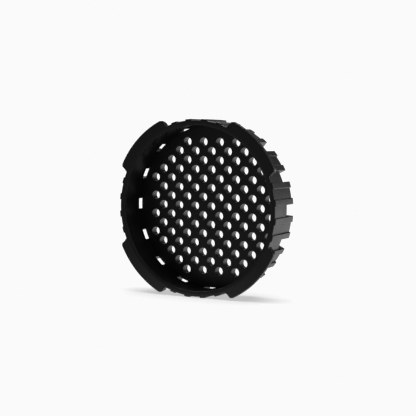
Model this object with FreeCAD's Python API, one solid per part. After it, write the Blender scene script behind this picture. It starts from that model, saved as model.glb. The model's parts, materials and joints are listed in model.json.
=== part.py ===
import FreeCAD, Part
import math
import os

# Twist-on filter cap of a plunger coffee press, in black polypropylene.
#
# The cap is a shallow round cup. Its floor is a strainer of small holes, its mouth carries four
# locking ears that turn into the chamber's flange, and its wall is ribbed for grip. The back end of
# the wall is notched into sixteen legs, and each notch opens a small window into the cup beside
# the floor.
#
# It is moulded in one piece. Here its features are separate closed solids that meet face to face.
#
# Each piece is drawn in the turning frame: axis along Z, floor's inner face at height 0, mouth at
# the top, angles counter-clockwise from +X as seen from the mouth. stand_on_edge() then puts it in
# the part's own frame: axis along Y, mouth towards -Y, +Z up, origin at the middle of the whole.

# Driving dimensions, in millimetres and degrees.
bore_radius = 31.75           # inside of the wall: a 63.5 mm paper filter lies in it
mouth_height = 12.55          # floor's inner face to the mouth
floor_thickness = 3.5
mouth_bevel_width = 0.9       # shallow lead-in round the inner edge of the mouth
mouth_bevel_depth = 0.25

floor_radius = 31.7           # floor's rim at its inner face
floor_back_radius = 31.0      # floor's rim at its back: it tapers under the windows

hole_pitch = 5.08             # square lattice, turned 45 degrees
hole_diameter = 3.36
lattice_reach = 7             # rows each side of the middle one
lattice_corner_reach = 10     # cuts the field's corners off at 45 degrees

skirt_mouth_radius = 33.82    # outside of the wall, drafted
skirt_back_radius = 33.2
window_height = 2.0           # floor's inner face to the top of a notch

leg_count = 16
notch_width_angle = 7.45      # gap between two legs

rib_width_angle = 4.2
rib_mouth_radius = 34.28      # rib's tip, drafted
rib_back_radius = 33.85
rib_edge_rounding = 0.38

ear_count = 4
ear_first_angle = 45.0
ear_radius = 36.93
ear_thickness = 2.72
ear_tip_half_angle = 20.1
ear_side_half_angle = 21.4    # where the slanted side meets the foot's curve
ear_foot_half_angle = 22.3
ear_side_radius = 34.8
ear_foot_bow = 0.65           # how closely the foot's curve follows the wall, then the side
ear_tip_rounding = 0.88
ear_front_rounding = 0.32     # outer edge, on the mouth's side
ear_back_rounding = 1.4

# Values that follow from them.
back_height = -floor_thickness
whole_depth = mouth_height - back_height
leg_pitch_angle = 360.0 / leg_count
leg_width_angle = leg_pitch_angle - notch_width_angle
rib_angle_from_notch = (notch_width_angle + rib_width_angle) / 2
ear_back_height = mouth_height - ear_thickness
lattice_half_step = hole_pitch / math.sqrt(2)

CENTRE = FreeCAD.Vector(0, 0, 0)
CAP_AXIS = FreeCAD.Vector(0, 0, 1)
TIPPING_AXIS = FreeCAD.Vector(1, 0, 0)
CORNER_SHARE = 1 - 1 / math.sqrt(2)    # of its radius, that a rounding's middle lies inside each side


def drafted_radius(back_radius, mouth_radius, height):
    """Radius at a height of an outer surface that widens evenly from the back to the mouth."""
    share = (height - back_height) / whole_depth
    return back_radius + share * (mouth_radius - back_radius)


def skirt_radius(height):
    return drafted_radius(skirt_back_radius, skirt_mouth_radius, height)


def rib_radius(height):
    return drafted_radius(rib_back_radius, rib_mouth_radius, height)


def polar(radius, angle, height=0.0):
    turn = math.radians(angle)
    return FreeCAD.Vector(radius * math.cos(turn), radius * math.sin(turn), height)


def turned_wire(wire, start_angle, sweep_angle):
    face = Part.Face(wire)
    face.rotate(CENTRE, CAP_AXIS, start_angle)
    return face.revolve(CENTRE, CAP_AXIS, sweep_angle)


def turned(profile, start_angle=0.0, sweep_angle=360.0):
    """Solid turned about the cap's axis from a profile of (radius, height) corners."""
    corners = [polar(radius, 0, height) for radius, height in profile]
    return turned_wire(Part.makePolygon(corners + corners[:1]), start_angle, sweep_angle)


def hole_centres():
    """Octagonal field of holes: every second point of a half-step grid."""
    reach = range(-lattice_reach, lattice_reach + 1)
    return [
        (column * lattice_half_step, row * lattice_half_step)
        for row in reach
        for column in reach
        if (row + column) % 2 == 0 and abs(row) + abs(column) <= lattice_corner_reach
    ]


def strainer_disc():
    """Perforated floor, with a tapered rim."""
    blank = turned([
        (0, back_height),
        (floor_back_radius, back_height),
        (floor_radius, 0),
        (0, 0),
    ])
    drill_length = 2 * floor_thickness
    drill_start = back_height - floor_thickness / 2
    drills = [
        Part.makeCylinder(hole_diameter / 2, drill_length, FreeCAD.Vector(x, y, drill_start))
        for x, y in hole_centres()
    ]
    return blank.cut(drills)


def skirt_wall():
    """Unbroken ring of the wall, from the tops of the notches to the mouth."""
    return turned([
        (bore_radius, window_height),
        (skirt_radius(window_height), window_height),
        (skirt_mouth_radius, mouth_height),
        (bore_radius + mouth_bevel_width, mouth_height),
        (bore_radius, mouth_height - mouth_bevel_depth),
    ])


def grip_leg(index):
    """Stretch of the wall between two notches. It holds the floor by its tapered rim."""
    start_angle = index * leg_pitch_angle + notch_width_angle / 2
    profile = [
        (floor_back_radius, back_height),
        (skirt_back_radius, back_height),
        (skirt_radius(window_height), window_height),
        (bore_radius, window_height),
        (bore_radius, 0),
        (floor_radius, 0),
    ]
    return turned(profile, start_angle, leg_width_angle)


def rib_centre_angle(index):
    """Two ribs to a leg, one along each of its edges."""
    leg, side = divmod(index, 2)
    if side == 0:
        return leg * leg_pitch_angle + rib_angle_from_notch
    return (leg + 1) * leg_pitch_angle - rib_angle_from_notch


def is_under_ear(angle):
    ear_pitch = 360.0 / ear_count
    from_ear = (angle - ear_first_angle + ear_pitch / 2) % ear_pitch - ear_pitch / 2
    return abs(from_ear) < ear_foot_half_angle


def grip_rib(index):
    """Low bar down the outside of the wall, with its two long edges rounded."""
    centre_angle = rib_centre_angle(index)
    top = ear_back_height if is_under_ear(centre_angle) else mouth_height
    profile = [
        (skirt_back_radius, back_height),
        (rib_back_radius, back_height),
        (rib_radius(top), top),
        (skirt_radius(top), top),
    ]
    bar = turned(profile, centre_angle - rib_width_angle / 2, rib_width_angle)
    return bar.makeFillet(rib_edge_rounding, long_tip_edges(bar, top))


def long_tip_edges(bar, top):
    """The rib's straight edges between its tip and its sides."""
    middle_height = (back_height + top) / 2
    tolerance = 0.05
    found = []
    for edge in bar.Edges:
        middle = edge.BoundBox.Center
        off_tip = math.hypot(middle.x, middle.y) - rib_radius(middle_height)
        if abs(middle.z - middle_height) < tolerance and abs(off_tip) < tolerance:
            found.append(edge)
    return found


def ear_outline(centre_angle):
    """Closed outline of an ear: curved feet, slanted sides, rounded tips and an arc between them.

    Its inner side lies inside the wall and is cut away to the wall's own surface.
    """
    rounding_angle = math.degrees(ear_tip_rounding / ear_radius)
    arc_half_angle = ear_tip_half_angle - rounding_angle
    foot_radius = skirt_radius(ear_back_height)

    def point(radius, angle):
        return polar(radius, centre_angle + angle, ear_back_height)

    edges = []
    for side in (-1, 1):
        root = point(bore_radius, side * ear_foot_half_angle)
        foot = point(foot_radius, side * ear_foot_half_angle)
        foot_middle = point(
            foot_radius + (1 - ear_foot_bow) * (ear_side_radius - foot_radius),
            side * (ear_foot_half_angle + ear_foot_bow * (ear_side_half_angle - ear_foot_half_angle)),
        )
        side_start = point(ear_side_radius, side * ear_side_half_angle)
        tip_start = point(ear_radius - ear_tip_rounding, side * ear_tip_half_angle)
        tip_middle = point(
            ear_radius - CORNER_SHARE * ear_tip_rounding,
            side * (ear_tip_half_angle - CORNER_SHARE * rounding_angle),
        )
        tip_end = point(ear_radius, side * arc_half_angle)
        edges += [
            Part.LineSegment(root, foot).toShape(),
            Part.Arc(foot, foot_middle, side_start).toShape(),
            Part.LineSegment(side_start, tip_start).toShape(),
            Part.Arc(tip_start, tip_middle, tip_end).toShape(),
        ]
    for radius, half_angle in ((ear_radius, arc_half_angle), (bore_radius, ear_foot_half_angle)):
        arc = Part.Arc(point(radius, -half_angle), point(radius, 0), point(radius, half_angle))
        edges.append(arc.toShape())
    return Part.Wire(Part.__sortEdges__(edges))


def ear_section():
    """Closed section of an ear through the axis, its two outer edges rounded."""

    def rounding(height, inward, radius):
        """Quarter circle at the outer edge at a height, from the flat face to the outer side."""
        middle = FreeCAD.Vector(ear_radius - radius, 0, height + inward * radius)
        slant = radius / math.sqrt(2)
        return (
            middle - CAP_AXIS * inward * radius,
            middle + FreeCAD.Vector(slant, 0, -inward * slant),
            middle + FreeCAD.Vector(radius, 0, 0),
        )

    front = rounding(mouth_height, -1, ear_front_rounding)
    back = rounding(ear_back_height, 1, ear_back_rounding)
    front_root = FreeCAD.Vector(bore_radius, 0, mouth_height)
    back_root = FreeCAD.Vector(bore_radius, 0, ear_back_height)
    return Part.Wire([
        Part.LineSegment(front_root, front[0]).toShape(),
        Part.Arc(*front).toShape(),
        Part.LineSegment(front[2], back[2]).toShape(),
        Part.Arc(*reversed(back)).toShape(),
        Part.LineSegment(back[0], back_root).toShape(),
        Part.LineSegment(back_root, front_root).toShape(),
    ])


def locking_ear(index):
    """Flat lug at the mouth that turns into the chamber's flange."""
    centre_angle = ear_first_angle + index * 360.0 / ear_count
    lug = Part.Face(ear_outline(centre_angle)).extrude(CAP_AXIS * ear_thickness)
    half_sweep = 2 * ear_foot_half_angle
    flange = turned_wire(ear_section(), centre_angle - half_sweep, 2 * half_sweep)
    wall_core = Part.makeCone(
        skirt_back_radius, skirt_mouth_radius, whole_depth, CAP_AXIS * back_height
    )
    return lug.common(flange).cut(wall_core)


def stand_on_edge(shape):
    """From the turning frame to the part's own, with the origin at mid-depth on the axis."""
    placed = shape.copy()
    placed.translate(CAP_AXIS * -(mouth_height + back_height) / 2)
    placed.rotate(CENTRE, TIPPING_AXIS, 90)
    return placed


def save(name, shape):
    stand_on_edge(shape).exportStep(f"parts/{name}.step")


os.makedirs("parts", exist_ok=True)

save("strainer_disc", strainer_disc())
save("skirt_wall", skirt_wall())
for index in range(leg_count):
    save(f"grip_leg_{index + 1:02d}", grip_leg(index))
for index in range(2 * leg_count):
    save(f"grip_rib_{index + 1:02d}", grip_rib(index))
for index in range(ear_count):
    save(f"locking_ear_{index + 1}", locking_ear(index))
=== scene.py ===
import bmesh
import bpy
import json
import math
from mathutils import Matrix, Vector

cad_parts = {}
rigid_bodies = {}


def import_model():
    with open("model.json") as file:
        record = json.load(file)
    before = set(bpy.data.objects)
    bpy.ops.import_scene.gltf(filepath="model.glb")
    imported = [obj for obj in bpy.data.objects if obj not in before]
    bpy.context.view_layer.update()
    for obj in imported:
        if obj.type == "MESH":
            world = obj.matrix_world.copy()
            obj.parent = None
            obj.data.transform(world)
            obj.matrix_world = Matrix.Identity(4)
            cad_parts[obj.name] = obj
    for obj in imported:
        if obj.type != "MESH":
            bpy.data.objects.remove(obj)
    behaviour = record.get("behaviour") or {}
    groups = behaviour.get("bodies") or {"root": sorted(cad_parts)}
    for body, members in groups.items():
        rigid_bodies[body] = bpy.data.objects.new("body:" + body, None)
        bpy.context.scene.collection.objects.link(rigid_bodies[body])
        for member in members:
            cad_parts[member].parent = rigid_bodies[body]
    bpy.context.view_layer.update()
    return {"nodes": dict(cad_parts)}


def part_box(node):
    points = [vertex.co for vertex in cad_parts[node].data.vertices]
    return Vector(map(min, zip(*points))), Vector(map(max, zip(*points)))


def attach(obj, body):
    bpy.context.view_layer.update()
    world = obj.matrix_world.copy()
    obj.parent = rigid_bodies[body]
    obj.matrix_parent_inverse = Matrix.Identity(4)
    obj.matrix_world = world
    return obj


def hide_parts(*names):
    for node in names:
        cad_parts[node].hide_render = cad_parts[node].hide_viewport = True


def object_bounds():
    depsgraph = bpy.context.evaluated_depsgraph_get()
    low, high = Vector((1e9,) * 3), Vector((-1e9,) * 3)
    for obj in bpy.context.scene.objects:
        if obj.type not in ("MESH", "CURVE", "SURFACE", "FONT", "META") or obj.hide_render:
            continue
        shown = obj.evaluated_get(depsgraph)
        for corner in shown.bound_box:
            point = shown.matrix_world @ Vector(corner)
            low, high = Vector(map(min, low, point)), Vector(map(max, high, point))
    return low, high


# Twist-on filter cap of a plunger coffee press, standing on edge on a pale floor. Lengths are in
# metres. The cap's axis is Y: the mouth faces -Y and the back +Y, and a level is a place along it.
# Angles go round the axis from +X, counter-clockwise as seen from the mouth, in radians.

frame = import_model()


# ---------------------------------------------------------------------------- strainer disc
# The floor of the cap: a flat plate with straight round holes in a square pattern turned 45
# degrees. It is moulded in black polypropylene in one shot with the wall, so its only finishing is
# the slightly broken edge that the mould leaves round each hole and round the tapered rim.

mm = 0.001
hair = 0.01 * mm         # step between two pieces that would otherwise share a surface
weld = 0.002 * mm        # points closer than this are one
tuck = 0.4 * mm          # depth that a piece reaches into its neighbour
facing_mouth = (math.pi / 2, 0, 0)


def spread(node, level=None):
    """Smallest and largest distance of a CAD node's points from the axis, at a level if one is given."""
    points = [vertex.co for vertex in frame["nodes"][node].data.vertices]
    distances = [math.hypot(p.x, p.z) for p in points if level is None or abs(p.y - level) < hair]
    return min(distances), max(distances)


def pick(kind, wanted):
    """Selects, in edit mode, only the vertices, edges or faces that pass the test."""
    bpy.ops.mesh.select_mode(type=kind)
    bpy.ops.mesh.select_all(action="DESELECT")
    mesh = bmesh.from_edit_mesh(bpy.context.object.data)
    for part in {"VERT": mesh.verts, "EDGE": mesh.edges, "FACE": mesh.faces}[kind]:
        if wanted(part):
            part.select_set(True)
    mesh.select_flush_mode()
    bmesh.update_edit_mesh(bpy.context.object.data)


def on_ring(edge, radius, level):
    """True for an edge of the circle with that radius about the axis, at that level."""
    return all(
        abs(math.hypot(end.co.x, end.co.z) - radius) < hair and abs(end.co.y - level) < hair
        for end in edge.verts
    )


def pull_ring(scale, shift):
    """Extrudes the selected rings of edges, along the axis by shift and in or out by scale."""
    bpy.ops.mesh.extrude_edges_move(TRANSFORM_OT_translate={"value": (0, shift, 0)})
    bpy.ops.transform.resize(value=(scale, 1, scale), center_override=(0, 0, 0))


def round_over(width, segments=4):
    """Rounds the selected edges, and marks the crest of the rounding for the finish's wear."""
    bpy.ops.mesh.bevel(offset=width, segments=segments, affect="EDGES")
    bpy.ops.mesh.select_less()
    mesh = bmesh.from_edit_mesh(bpy.context.object.data)
    crest = mesh.verts.layers.float.get("crest") or mesh.verts.layers.float.new("crest")
    for vertex in mesh.verts:
        if vertex.select:
            vertex[crest] = 1.0
    bmesh.update_edit_mesh(bpy.context.object.data)


def copied(piece, name, placing):
    """A copy with its own mesh, put in place in the mesh."""
    copy = piece.copy()
    copy.data = piece.data.copy()
    copy.name = copy.data.name = name
    copy.data.transform(placing)
    bpy.context.collection.objects.link(copy)
    return copy


def smooth():
    """Turns all faces outwards and shades the roundings smoothly between faces that stay flat."""
    sharp_angle = math.radians(35)
    bpy.ops.object.mode_set(mode="EDIT")
    bpy.ops.mesh.select_all(action="SELECT")
    bpy.ops.mesh.normals_make_consistent(inside=False)
    bpy.ops.object.mode_set(mode="OBJECT")
    bpy.ops.object.shade_smooth_by_angle(angle=sharp_angle)
    bpy.ops.object.modifier_add(type="WEIGHTED_NORMAL")
    bpy.context.object.modifiers[-1].keep_sharp = True
    bpy.ops.object.modifier_apply(modifier=bpy.context.object.modifiers[-1].name)


cap = bpy.data.collections.new("cap")    # all the cap's pieces, for the lights to be aimed at


def fit(piece, node, finish):
    """Puts the finished piece in the place of its CAD node."""
    cap.objects.link(piece)
    piece.data.materials.clear()
    piece.data.materials.append(finish)
    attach(piece, "root")
    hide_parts(node)


def shader_node(tree, kind, **settings):
    """A new shader node. A setting is a property of it or, with _ for a space, one of its inputs."""
    node = tree.nodes.new("ShaderNode" + kind)
    for name, value in settings.items():
        if hasattr(node, name):
            setattr(node, name, value)
        else:
            node.inputs[name.replace("_", " ")].default_value = value
    return node


def new_group(name, inputs, outputs):
    """An empty shader node group with named sockets, and its input and output nodes."""
    group = bpy.data.node_groups.new(name, "ShaderNodeTree")
    for socket, kind in inputs:
        group.interface.new_socket(socket, in_out="INPUT", socket_type="NodeSocket" + kind)
    for socket, kind in outputs:
        group.interface.new_socket(socket, in_out="OUTPUT", socket_type="NodeSocket" + kind)
    return group, group.nodes.new("NodeGroupInput"), group.nodes.new("NodeGroupOutput")


def make_mould_grain():
    """Matt grain that the mould's spark-eroded steel leaves: fine pits over a slight orange peel."""
    amounts = [(name, "Float") for name in ("Pit Scale", "Peel Scale", "Peel Share")]
    group, given, result = new_group(
        "mould_grain", [("Coordinates", "Vector"), *amounts], [("Height", "Float")]
    )
    pits = shader_node(group, "TexNoise", Detail=3.0, Roughness=0.6)
    peel = shader_node(group, "TexNoise", Detail=1.0, Roughness=0.4)
    both = shader_node(group, "Mix", data_type="FLOAT")
    link = group.links.new
    link(given.outputs["Coordinates"], pits.inputs["Vector"])
    link(given.outputs["Coordinates"], peel.inputs["Vector"])
    link(given.outputs["Pit Scale"], pits.inputs["Scale"])
    link(given.outputs["Peel Scale"], peel.inputs["Scale"])
    link(given.outputs["Peel Share"], both.inputs["Factor"])
    link(pits.outputs["Fac"], both.inputs["A"])
    link(peel.outputs["Fac"], both.inputs["B"])
    link(both.outputs["Result"], result.inputs["Height"])
    return group


def make_handling():
    """What use does to it: crests rubbed brighter, and broad patches of polish."""
    group, given, result = new_group(
        "handling",
        [("Coordinates", "Vector"), ("Crest", "Float"), ("Wear", "Float")],
        [("Rubbed", "Float"), ("Polish", "Float")],
    )
    link = group.links.new
    breaks = shader_node(group, "TexNoise", Scale=900.0, Detail=3.0, Roughness=0.65)
    broken = shader_node(group, "MapRange", From_Min=0.38, From_Max=0.66)
    rubbed = shader_node(group, "Math", operation="MULTIPLY")
    worn = shader_node(group, "Math", operation="MULTIPLY")
    patches = shader_node(group, "TexNoise", Scale=95.0, Detail=4.0, Roughness=0.55)
    polish = shader_node(group, "MapRange", From_Min=0.35, From_Max=0.7)
    link(given.outputs["Coordinates"], breaks.inputs["Vector"])
    link(given.outputs["Coordinates"], patches.inputs["Vector"])
    link(breaks.outputs["Fac"], broken.inputs["Value"])
    link(broken.outputs["Result"], rubbed.inputs[0])
    link(given.outputs["Crest"], rubbed.inputs[1])
    link(rubbed.outputs["Value"], worn.inputs[0])
    link(given.outputs["Wear"], worn.inputs[1])
    link(worn.outputs["Value"], result.inputs["Rubbed"])
    link(patches.outputs["Fac"], polish.inputs["Value"])
    link(polish.outputs["Result"], result.inputs["Polish"])
    return group


mould_grain = make_mould_grain()
handling = make_handling()


def black_polypropylene(name, matt, polished, pit_scale, peel_share, grain_depth, wear):
    """Black polypropylene with the grain and the wear of one area of the cap."""
    plastic_black = (0.0040, 0.0040, 0.0042, 1)
    rubbed_black = (0.014, 0.014, 0.0145, 1)
    refraction = 1.49
    peel_scale = 1400.0
    finish = bpy.data.materials.new(name)
    finish.use_nodes = True
    tree = finish.node_tree
    link = tree.links.new
    plastic = tree.nodes["Principled BSDF"]
    plastic.inputs["IOR"].default_value = refraction
    place = shader_node(tree, "TexCoord")
    crest = shader_node(tree, "Attribute", attribute_name="crest")

    grain = shader_node(tree, "Group", node_tree=mould_grain)
    grain.inputs["Pit Scale"].default_value = pit_scale
    grain.inputs["Peel Scale"].default_value = peel_scale
    grain.inputs["Peel Share"].default_value = peel_share
    link(place.outputs["Object"], grain.inputs["Coordinates"])
    relief = shader_node(tree, "Bump", Strength=1.0, Distance=grain_depth)
    link(grain.outputs["Height"], relief.inputs["Height"])
    link(relief.outputs["Normal"], plastic.inputs["Normal"])

    used = shader_node(tree, "Group", node_tree=handling)
    used.inputs["Wear"].default_value = wear
    link(place.outputs["Object"], used.inputs["Coordinates"])
    link(crest.outputs["Fac"], used.inputs["Crest"])
    colour = shader_node(tree, "Mix", data_type="RGBA")
    colour.inputs["A"].default_value = plastic_black
    colour.inputs["B"].default_value = rubbed_black
    link(used.outputs["Rubbed"], colour.inputs["Factor"])
    link(colour.outputs["Result"], plastic.inputs["Base Color"])
    gloss = shader_node(tree, "MapRange", To_Min=matt, To_Max=polished)
    link(used.outputs["Polish"], gloss.inputs["Value"])
    link(gloss.outputs["Result"], plastic.inputs["Roughness"])
    return finish


strainer_finish = black_polypropylene(
    "strainer_black", matt=0.48, polished=0.40,
    pit_scale=6500.0, peel_share=0.45, grain_depth=0.02 * mm, wear=0.5,
)

inner_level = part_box("strainer_disc")[0].y
back_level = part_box("strainer_disc")[1].y
disc_depth = back_level - inner_level
disc_radius = spread("strainer_disc", inner_level)[1]
disc_back_radius = spread("strainer_disc", back_level)[1]

hole_pitch = 5.08 * mm
hole_radius = 1.68 * mm
hole_land = 0.35 * mm            # flat ring round a hole
hole_rim_rounding = 0.05 * mm
hole_sides = 32
hole_rows = 7                    # each side of the middle row
corner_rows = 10                 # cuts the field's corners off at 45 degrees
half_step = hole_pitch / math.sqrt(2)

bpy.ops.object.select_all(action="DESELECT")
bpy.ops.mesh.primitive_circle_add(
    vertices=hole_sides, radius=hole_radius + hole_land,
    location=(0, inner_level, 0), rotation=facing_mouth,
)
hole = bpy.context.object
bpy.ops.object.transform_apply()
bpy.ops.object.mode_set(mode="EDIT")
bpy.ops.mesh.select_all(action="SELECT")
pull_ring(hole_radius / (hole_radius + hole_land), 0)
pull_ring(1, disc_depth)
pull_ring((hole_radius + hole_land) / hole_radius, 0)
pick("EDGE", lambda e: on_ring(e, hole_radius, inner_level) or on_ring(e, hole_radius, back_level))
round_over(hole_rim_rounding, segments=3)
bpy.ops.object.mode_set(mode="OBJECT")

holes = [
    copied(hole, "strainer_hole", Matrix.Translation((column * half_step, 0, row * half_step)))
    for row in range(-hole_rows, hole_rows + 1)
    for column in range(-hole_rows, hole_rows + 1)
    if (row + column) % 2 == 0 and abs(row) + abs(column) <= corner_rows
]
bpy.data.objects.remove(hole)
for one in holes:
    one.select_set(True)
strainer = holes[0]
bpy.context.view_layer.objects.active = strainer
bpy.ops.object.join()
strainer.name = strainer.data.name = "strainer"

rim_land = 0.5 * mm              # flat ring inside the rim, on both faces
rim_rounding = 0.06 * mm
rim_sides = 192
bpy.ops.object.mode_set(mode="EDIT")
bpy.ops.mesh.primitive_circle_add(
    vertices=rim_sides, radius=disc_radius - rim_land,
    location=(0, inner_level, 0), rotation=facing_mouth,
)
pick("EDGE", lambda e: not e.is_manifold and abs(e.verts[0].co.y - inner_level) < hair)
bpy.ops.mesh.fill()
pick("EDGE", lambda e: on_ring(e, disc_radius - rim_land, inner_level))
pull_ring(disc_radius / (disc_radius - rim_land), 0)
pull_ring(disc_back_radius / disc_radius, disc_depth - hair)
pull_ring((disc_back_radius - rim_land) / disc_back_radius, 0)
pick("VERT", lambda v: v.co.y > back_level - 2 * hair)
bpy.ops.transform.resize(value=(1, 0, 1), center_override=(0, back_level - hair, 0))
pick("EDGE", lambda e: e.is_boundary)
bpy.ops.mesh.fill()
pick("EDGE", lambda e: on_ring(e, disc_radius, inner_level)
     or on_ring(e, disc_back_radius, back_level - hair))
round_over(rim_rounding)
smooth()
fit(strainer, "strainer_disc", strainer_finish)


# ---------------------------------------------------------------------------- skirt wall
# The unbroken ring of the wall, from the tops of the drain windows to the mouth. It is turned from
# one section: a straight bore, a drafted outside, and a shallow lead-in round the mouth's inner
# edge where the chamber's spigot goes in.

skirt_finish = black_polypropylene(
    "skirt_black", matt=0.47, polished=0.39,
    pit_scale=5200.0, peel_share=0.4, grain_depth=0.03 * mm, wear=0.7,
)


def draw(name, corners):
    """Starts a piece as the closed outline of its section, drawn from corner to corner.

    A corner is a distance from the axis and a level.
    """
    bpy.ops.object.select_all(action="DESELECT")
    bpy.ops.mesh.primitive_plane_add(size=mm, location=(*corners[0], 0))
    piece = bpy.context.object
    piece.name = piece.data.name = name
    bpy.ops.object.transform_apply()
    bpy.ops.object.mode_set(mode="EDIT")
    bpy.ops.mesh.select_mode(type="VERT")
    bpy.ops.mesh.select_all(action="SELECT")
    bpy.ops.mesh.merge(type="CENTER")
    for here, there in zip(corners, corners[1:] + corners[:1]):
        step = (there[0] - here[0], there[1] - here[1], 0)
        bpy.ops.mesh.extrude_vertices_move(TRANSFORM_OT_translate={"value": step})
    bpy.ops.mesh.select_all(action="SELECT")
    bpy.ops.mesh.remove_doubles(threshold=weld)
    return piece


def turn(sweep, steps):
    """Turns the drawn section counter-clockwise, as seen from the mouth, and closes the solid."""
    bpy.ops.mesh.select_all(action="SELECT")
    bpy.ops.mesh.spin(steps=steps, angle=sweep, center=(0, 0, 0), axis=(0, 1, 0))
    bpy.ops.mesh.select_all(action="SELECT")
    bpy.ops.mesh.remove_doubles(threshold=weld)
    bpy.ops.mesh.select_all(action="SELECT")
    bpy.ops.mesh.fill_holes(sides=0)
    bpy.ops.mesh.select_all(action="SELECT")
    bpy.ops.mesh.normals_make_consistent(inside=False)


mouth_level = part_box("skirt_wall")[0].y
window_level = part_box("skirt_wall")[1].y
bore_radius, skirt_mouth_radius = spread("skirt_wall")
skirt_window_radius = spread("skirt_wall", window_level)[1]
lead_in_radius = spread("skirt_wall", mouth_level)[0]
lead_in_depth = 0.25 * mm
mouth_rounding = 0.25 * mm
lead_in_rounding = 0.2 * mm
window_rounding = 0.05 * mm
skirt_sides = 288

skirt = draw("skirt", [
    (bore_radius, window_level),
    (bore_radius, mouth_level + lead_in_depth),
    (lead_in_radius, mouth_level),
    (skirt_mouth_radius, mouth_level),
    (skirt_window_radius, window_level),
])
turn(2 * math.pi, skirt_sides)
pick("EDGE", lambda e: on_ring(e, skirt_mouth_radius, mouth_level))
round_over(mouth_rounding)
pick("EDGE", lambda e: on_ring(e, bore_radius, mouth_level + lead_in_depth))
round_over(lead_in_rounding)
pick("EDGE", lambda e: on_ring(e, bore_radius, window_level)
     or on_ring(e, skirt_window_radius, window_level))
round_over(window_rounding, segments=3)
smooth()
fit(skirt, "skirt_wall", skirt_finish)


# ---------------------------------------------------------------------------- grip legs
# Sixteen stretches of the wall between the notches. They reach down past the floor, which they
# hold by its tapered rim, to the plane that the cap stands on when it lies with its mouth up.

leg_count = 16
leg_columns = 14
foot_rounding = 0.22 * mm


def bearing(node):
    """Smallest and largest angle of a CAD node's points round the axis."""
    angles = [math.atan2(v.co.z, v.co.x) for v in frame["nodes"][node].data.vertices]
    return min(angles), max(angles)


def turned_by(angle):
    """Rotation round the axis, counter-clockwise as seen from the mouth."""
    return Matrix.Rotation(-angle, 4, "Y")


def skirt_radius(level):
    """Radius of the drafted outside of the wall."""
    draft = (skirt_mouth_radius - skirt_window_radius) / (window_level - mouth_level)
    return skirt_mouth_radius - draft * (level - mouth_level)


first_leg, last_leg = bearing("grip_leg_01")
leg_top = window_level - tuck
leg = draw("leg", [
    (disc_back_radius - tuck, back_level),
    (disc_radius - tuck, inner_level + hair),
    (bore_radius + hair, inner_level + hair),
    (bore_radius + hair, leg_top),
    (skirt_radius(leg_top) - hair, leg_top),
    (skirt_radius(back_level), back_level),
])
turn(last_leg - first_leg, leg_columns)
pick("EDGE", lambda e: on_ring(e, skirt_radius(back_level), back_level))
round_over(foot_rounding)
smooth()
for index in range(leg_count):
    turn_to = first_leg + index * 2 * math.pi / leg_count
    one = copied(leg, f"leg_{index + 1:02d}", turned_by(turn_to))
    fit(one, f"grip_leg_{index + 1:02d}", skirt_finish)
bpy.data.objects.remove(leg)


# ---------------------------------------------------------------------------- grip ribs
# Thirty-two low bars down the outside of the wall, two to a leg, for wet fingers to hold. Half of
# them run the whole depth. The others stop at the back of a locking ear.

rib_count = 32
rib_columns = 6
rib_rounding = 0.26 * mm
rib_corner = math.radians(30)    # an edge that turns by more than this gets rounded


def is_proud(edge):
    """True for an edge that stands outside the wall at both ends."""
    return all(math.hypot(v.co.x, v.co.z) > skirt_radius(v.co.y) + hair for v in edge.verts)


def make_rib(node):
    """A rib as long as the CAD node, starting at angle 0."""
    top_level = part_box(node)[0].y
    is_whole = top_level < mouth_level + hair
    far_end = mouth_level + hair if is_whole else top_level - tuck
    near_end = back_level - hair
    tip_back = spread(node, back_level)[1]
    tip_top = spread(node, top_level)[1]
    low_angle, high_angle = bearing(node)
    rib = draw("rib", [
        (skirt_radius(near_end) - tuck, near_end),
        (tip_back, near_end),
        (tip_top, far_end),
        (skirt_radius(far_end) - tuck, far_end),
    ])
    turn(high_angle - low_angle - 2 * hair / tip_back, rib_columns)
    pick("EDGE", lambda e: is_proud(e) and e.calc_face_angle(0) > rib_corner)
    round_over(rib_rounding)
    smooth()
    return rib


whole_rib = make_rib("grip_rib_01")
short_rib = make_rib("grip_rib_03")
for index in range(rib_count):
    node = f"grip_rib_{index + 1:02d}"
    is_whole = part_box(node)[0].y < mouth_level + hair
    turn_to = bearing(node)[0] + hair / skirt_mouth_radius
    one = copied(whole_rib if is_whole else short_rib, f"rib_{index + 1:02d}", turned_by(turn_to))
    fit(one, node, skirt_finish)
bpy.data.objects.remove(whole_rib)
bpy.data.objects.remove(short_rib)


# ---------------------------------------------------------------------------- locking ears
# Four flat lugs flush with the mouth. They turn in behind the chamber's flange, so their outer
# edge is rounded, most of all at the back, and their sides flare into the wall with a small curve.

ear_finish = black_polypropylene(
    "ear_black", matt=0.46, polished=0.36,
    pit_scale=5200.0, peel_share=0.4, grain_depth=0.025 * mm, wear=1.0,
)

ear_count = 4
ear_back_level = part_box("locking_ear_1")[1].y
ear_radius = spread("locking_ear_1")[1]
ear_foot_half_angle = (bearing("locking_ear_1")[1] - bearing("locking_ear_1")[0]) / 2
ear_side_half_angle = math.radians(21.4)
ear_tip_half_angle = math.radians(20.1)
ear_side_radius = 34.8 * mm
ear_tip_rounding = 0.88 * mm
ear_front_rounding = 0.32 * mm
ear_back_rounding = 1.4 * mm
front_steps = 4
back_steps = 8
ear_columns = 48
end_crowding = 1.6               # packs the columns closer towards the ear's ends
foot_sharpness = 2.5             # how suddenly a side flares out at its foot
foot_crowding = 1.5              # packs the section's points closer towards the wall
foot_steps = 5
ear_corner = math.radians(50)    # an edge that turns by more than this gets rounded
ear_edge_rounding = 0.25 * mm


def arc(centre, radius, start, end, steps):
    """Points of an arc in the section, from one angle to another."""
    angles = [start + (end - start) * step / steps for step in range(steps + 1)]
    return [(centre[0] + radius * math.cos(a), centre[1] + radius * math.sin(a)) for a in angles]


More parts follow.
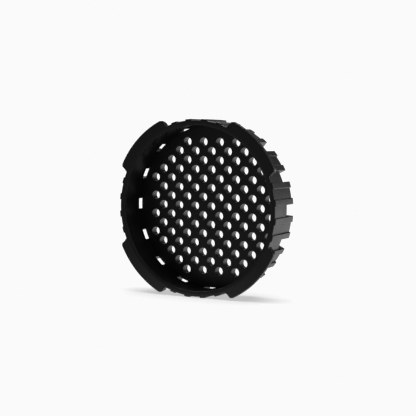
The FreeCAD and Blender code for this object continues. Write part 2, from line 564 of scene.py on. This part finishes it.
def ear_half_angle(radius):
    """Half the ear's width at a distance from the axis: slanted sides that flare at the foot."""
    if radius > ear_side_radius:
        share = (radius - ear_side_radius) / (ear_radius - ear_side_radius)
        return ear_side_half_angle + share * (ear_tip_half_angle - ear_side_half_angle)
    share = min(1, (ear_side_radius - radius) / (ear_side_radius - skirt_mouth_radius))
    return ear_side_half_angle + share ** foot_sharpness * (ear_foot_half_angle - ear_side_half_angle)


def shape_ear(piece):
    """Gives the turned block its slanted and flared sides and its rounded tips."""
    root = skirt_mouth_radius
    corner_start = ear_radius * ear_tip_half_angle - ear_tip_rounding
    for vertex in piece.data.vertices:
        radius = math.hypot(vertex.co.x, vertex.co.z)
        share = math.atan2(vertex.co.z, vertex.co.x) / ear_tip_half_angle
        share = math.copysign(1 - (1 - min(1, abs(share))) ** end_crowding, share)
        into_corner = max(0, abs(share) * ear_radius * ear_tip_half_angle - corner_start)
        drop = ear_tip_rounding - math.sqrt(max(0, ear_tip_rounding ** 2 - into_corner ** 2))
        if radius > root:
            radius = root + (radius - root) * (ear_radius - drop - root) / (ear_radius - root)
        angle = share * ear_half_angle(radius)
        vertex.co.x = radius * math.cos(angle)
        vertex.co.z = radius * math.sin(angle)


ear_front_level = mouth_level + hair
foot_radii = [
    skirt_mouth_radius + (ear_side_radius - skirt_mouth_radius) * (step / foot_steps) ** foot_crowding
    for step in range(foot_steps + 1)
]
ear = draw("ear", [
    (skirt_mouth_radius - tuck, ear_front_level),
    *[(radius, ear_front_level) for radius in foot_radii],
    *arc(
        (ear_radius - ear_front_rounding, ear_front_level + ear_front_rounding),
        ear_front_rounding, -math.pi / 2, 0, front_steps,
    ),
    *arc(
        (ear_radius - ear_back_rounding, ear_back_level - ear_back_rounding),
        ear_back_rounding, 0, math.pi / 2, back_steps,
    ),
    *[(radius, ear_back_level) for radius in reversed(foot_radii)],
    (skirt_radius(ear_back_level) - tuck, ear_back_level),
])
turn(2 * ear_tip_half_angle, ear_columns)
bpy.ops.object.mode_set(mode="OBJECT")
ear.data.transform(turned_by(-ear_tip_half_angle))
shape_ear(ear)
bpy.ops.object.mode_set(mode="EDIT")
pick("EDGE", lambda e: is_proud(e) and e.calc_face_angle(0) > ear_corner)
round_over(ear_edge_rounding, segments=3)
smooth()
for index in range(ear_count):
    node = f"locking_ear_{index + 1}"
    one = copied(ear, f"ear_{index + 1}", turned_by(sum(bearing(node)) / 2))
    fit(one, node, ear_finish)
bpy.data.objects.remove(ear)


# ---------------------------------------------------------------------------- floor
# A pale seamless studio floor, a light table: it glows evenly from below, and a soft light right
# above it adds the rest, so the cap leaves a narrow shadow where it stands. To the plastic it is
# bright behind the cap and dim in front, as a table is that ends before the camera.

floor_white = 1.12               # what the lit floor and the backdrop send to the camera
shaded_part = 0.57               # the part of the floor's white that the light above gives
floor_albedo = 0.6
room_glow = 0.07                 # the dim room, as all but the camera sees it
dim_front = 0.24                 # glow that the cap sees in front of its mouth
bright_back = 1.38               # glow that it sees behind its back
glow_start = -0.07               # places along Y between which one turns into the other
glow_end = 0.08
floor_size = 40.0

bpy.ops.object.select_all(action="DESELECT")
bpy.ops.mesh.primitive_plane_add(size=floor_size, location=(0, 0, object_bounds()[0].z))
floor = bpy.context.object
floor.name = "studio_floor"
paper = bpy.data.materials.new("pale_paper")
paper.use_nodes = True
tree = paper.node_tree
link = tree.links.new
lit_sheet = tree.nodes["Principled BSDF"]
lit_sheet.inputs["Base Color"].default_value = (floor_albedo, floor_albedo, floor_albedo, 1)
lit_sheet.inputs["Specular IOR Level"].default_value = 0.0
lit_sheet.inputs["Emission Color"].default_value = (1, 1, 1, 1)
glow_from_below = floor_white - shaded_part - room_glow * floor_albedo
lit_sheet.inputs["Emission Strength"].default_value = glow_from_below
table_glow = shader_node(tree, "Emission")
place = shader_node(tree, "TexCoord")
along = shader_node(tree, "SeparateXYZ")
reach = shader_node(
    tree, "MapRange", From_Min=glow_start, From_Max=glow_end, To_Min=dim_front, To_Max=bright_back
)
reach.interpolation_type = "SMOOTHSTEP"
by_ray = shader_node(tree, "LightPath")
mixed = shader_node(tree, "MixShader")
link(place.outputs["Object"], along.inputs["Vector"])
link(along.outputs["Y"], reach.inputs["Value"])
link(reach.outputs["Result"], table_glow.inputs["Strength"])
link(by_ray.outputs["Is Camera Ray"], mixed.inputs["Fac"])
link(table_glow.outputs["Emission"], mixed.inputs[1])
link(lit_sheet.outputs["BSDF"], mixed.inputs[2])
link(mixed.outputs["Shader"], tree.nodes["Material Output"].inputs["Surface"])
floor.data.materials.append(paper)
stage = bpy.data.collections.new("stage")    # the floor, for a light to be aimed at
stage.objects.link(floor)


# ---------------------------------------------------------------------------- light
# Soft studio light in a dim room. Wide softboxes stand high behind the cap and at its left, low
# behind it at the right, and half high at its right front, all flagged off the floor. One more,
# right above, lights only the floor.

world = bpy.data.worlds.new("studio")
bpy.context.scene.world = world
world.use_nodes = True
tree = world.node_tree
link = tree.links.new
tree.nodes.clear()
room = shader_node(tree, "Background", Strength=room_glow)
seen = shader_node(tree, "Background", Strength=floor_white)
by_ray = shader_node(tree, "LightPath")
mixed = shader_node(tree, "MixShader")
output = shader_node(tree, "OutputWorld")
for backdrop in (room, seen):
    backdrop.inputs["Color"].default_value = (1, 1, 1, 1)
link(by_ray.outputs["Is Camera Ray"], mixed.inputs["Fac"])
link(room.outputs["Background"], mixed.inputs[1])
link(seen.outputs["Background"], mixed.inputs[2])
link(mixed.outputs["Shader"], output.inputs["Surface"])


def softbox(name, azimuth, height, width, energy, aimed_at):
    """A wide soft light, far off. Angles are in degrees, and azimuth goes from +Y towards +X."""
    lamp = bpy.data.lights.new(name, "SUN")
    lamp.angle = math.radians(width)
    lamp.energy = energy
    light = bpy.data.objects.new(name, lamp)
    level_direction = Matrix.Rotation(math.radians(-azimuth), 3, "Z") @ Vector((0, 1, 0))
    rise = math.radians(height)
    towards = level_direction * math.cos(rise) + Vector((0, 0, math.sin(rise)))
    light.rotation_euler = towards.to_track_quat("Z", "Y").to_euler()
    light.light_linking.receiver_collection = aimed_at
    bpy.context.collection.objects.link(light)


softbox("back_softbox", azimuth=-29, height=60, width=40, energy=1.6, aimed_at=cap)
softbox("back_left_softbox", azimuth=-74, height=60, width=40, energy=2.6, aimed_at=cap)
softbox("right_softbox", azimuth=61, height=12, width=36, energy=1.1, aimed_at=cap)
softbox("front_right_softbox", azimuth=106, height=35, width=40, energy=0.5, aimed_at=cap)
overhead_energy = shaded_part * math.pi / floor_albedo
softbox("overhead_softbox", azimuth=0, height=90, width=64, energy=overhead_energy, aimed_at=stage)


# ---------------------------------------------------------------------------- camera
# A long lens half a metre away, 4 degrees above the cap's middle and 29 degrees to the right of the
# mouth's axis.

camera_place = (0.24333, -0.43623, 0.03824)
line_of_sight = Vector((-0.4840, 0.8717, -0.0768)).normalized()
upwards = Vector((-0.0441, 0.0634, 0.9970))
focal_length = 112.2             # in millimetres
nearest = 0.01                   # the lens sees nothing closer than this
paper_white = 0.956              # brightest tone of the picture
all_channels = 3                 # index of the tone curve that acts on red, green and blue alike

right = line_of_sight.cross(upwards).normalized()
up = right.cross(line_of_sight)
lens = bpy.data.cameras.new("studio_camera")
lens.lens = focal_length
lens.clip_start = nearest
camera = bpy.data.objects.new("studio_camera", lens)
bpy.context.collection.objects.link(camera)
turning = Matrix((right, up, -line_of_sight)).transposed().to_4x4()
camera.matrix_world = Matrix.Translation(camera_place) @ turning
bpy.context.scene.camera = camera

# The picture is exposed for the black cap, so the floor burns out to an even paper white.
tones = bpy.context.scene.view_settings
tones.view_transform = "Standard"
tones.use_curve_mapping = True
tone_curve = tones.curve_mapping.curves[all_channels]
tone_curve.points[1].location = (1, paper_white)
tone_curve.points.new(paper_white, paper_white)
for point in tone_curve.points:
    point.handle_type = "VECTOR"
tones.curve_mapping.update()
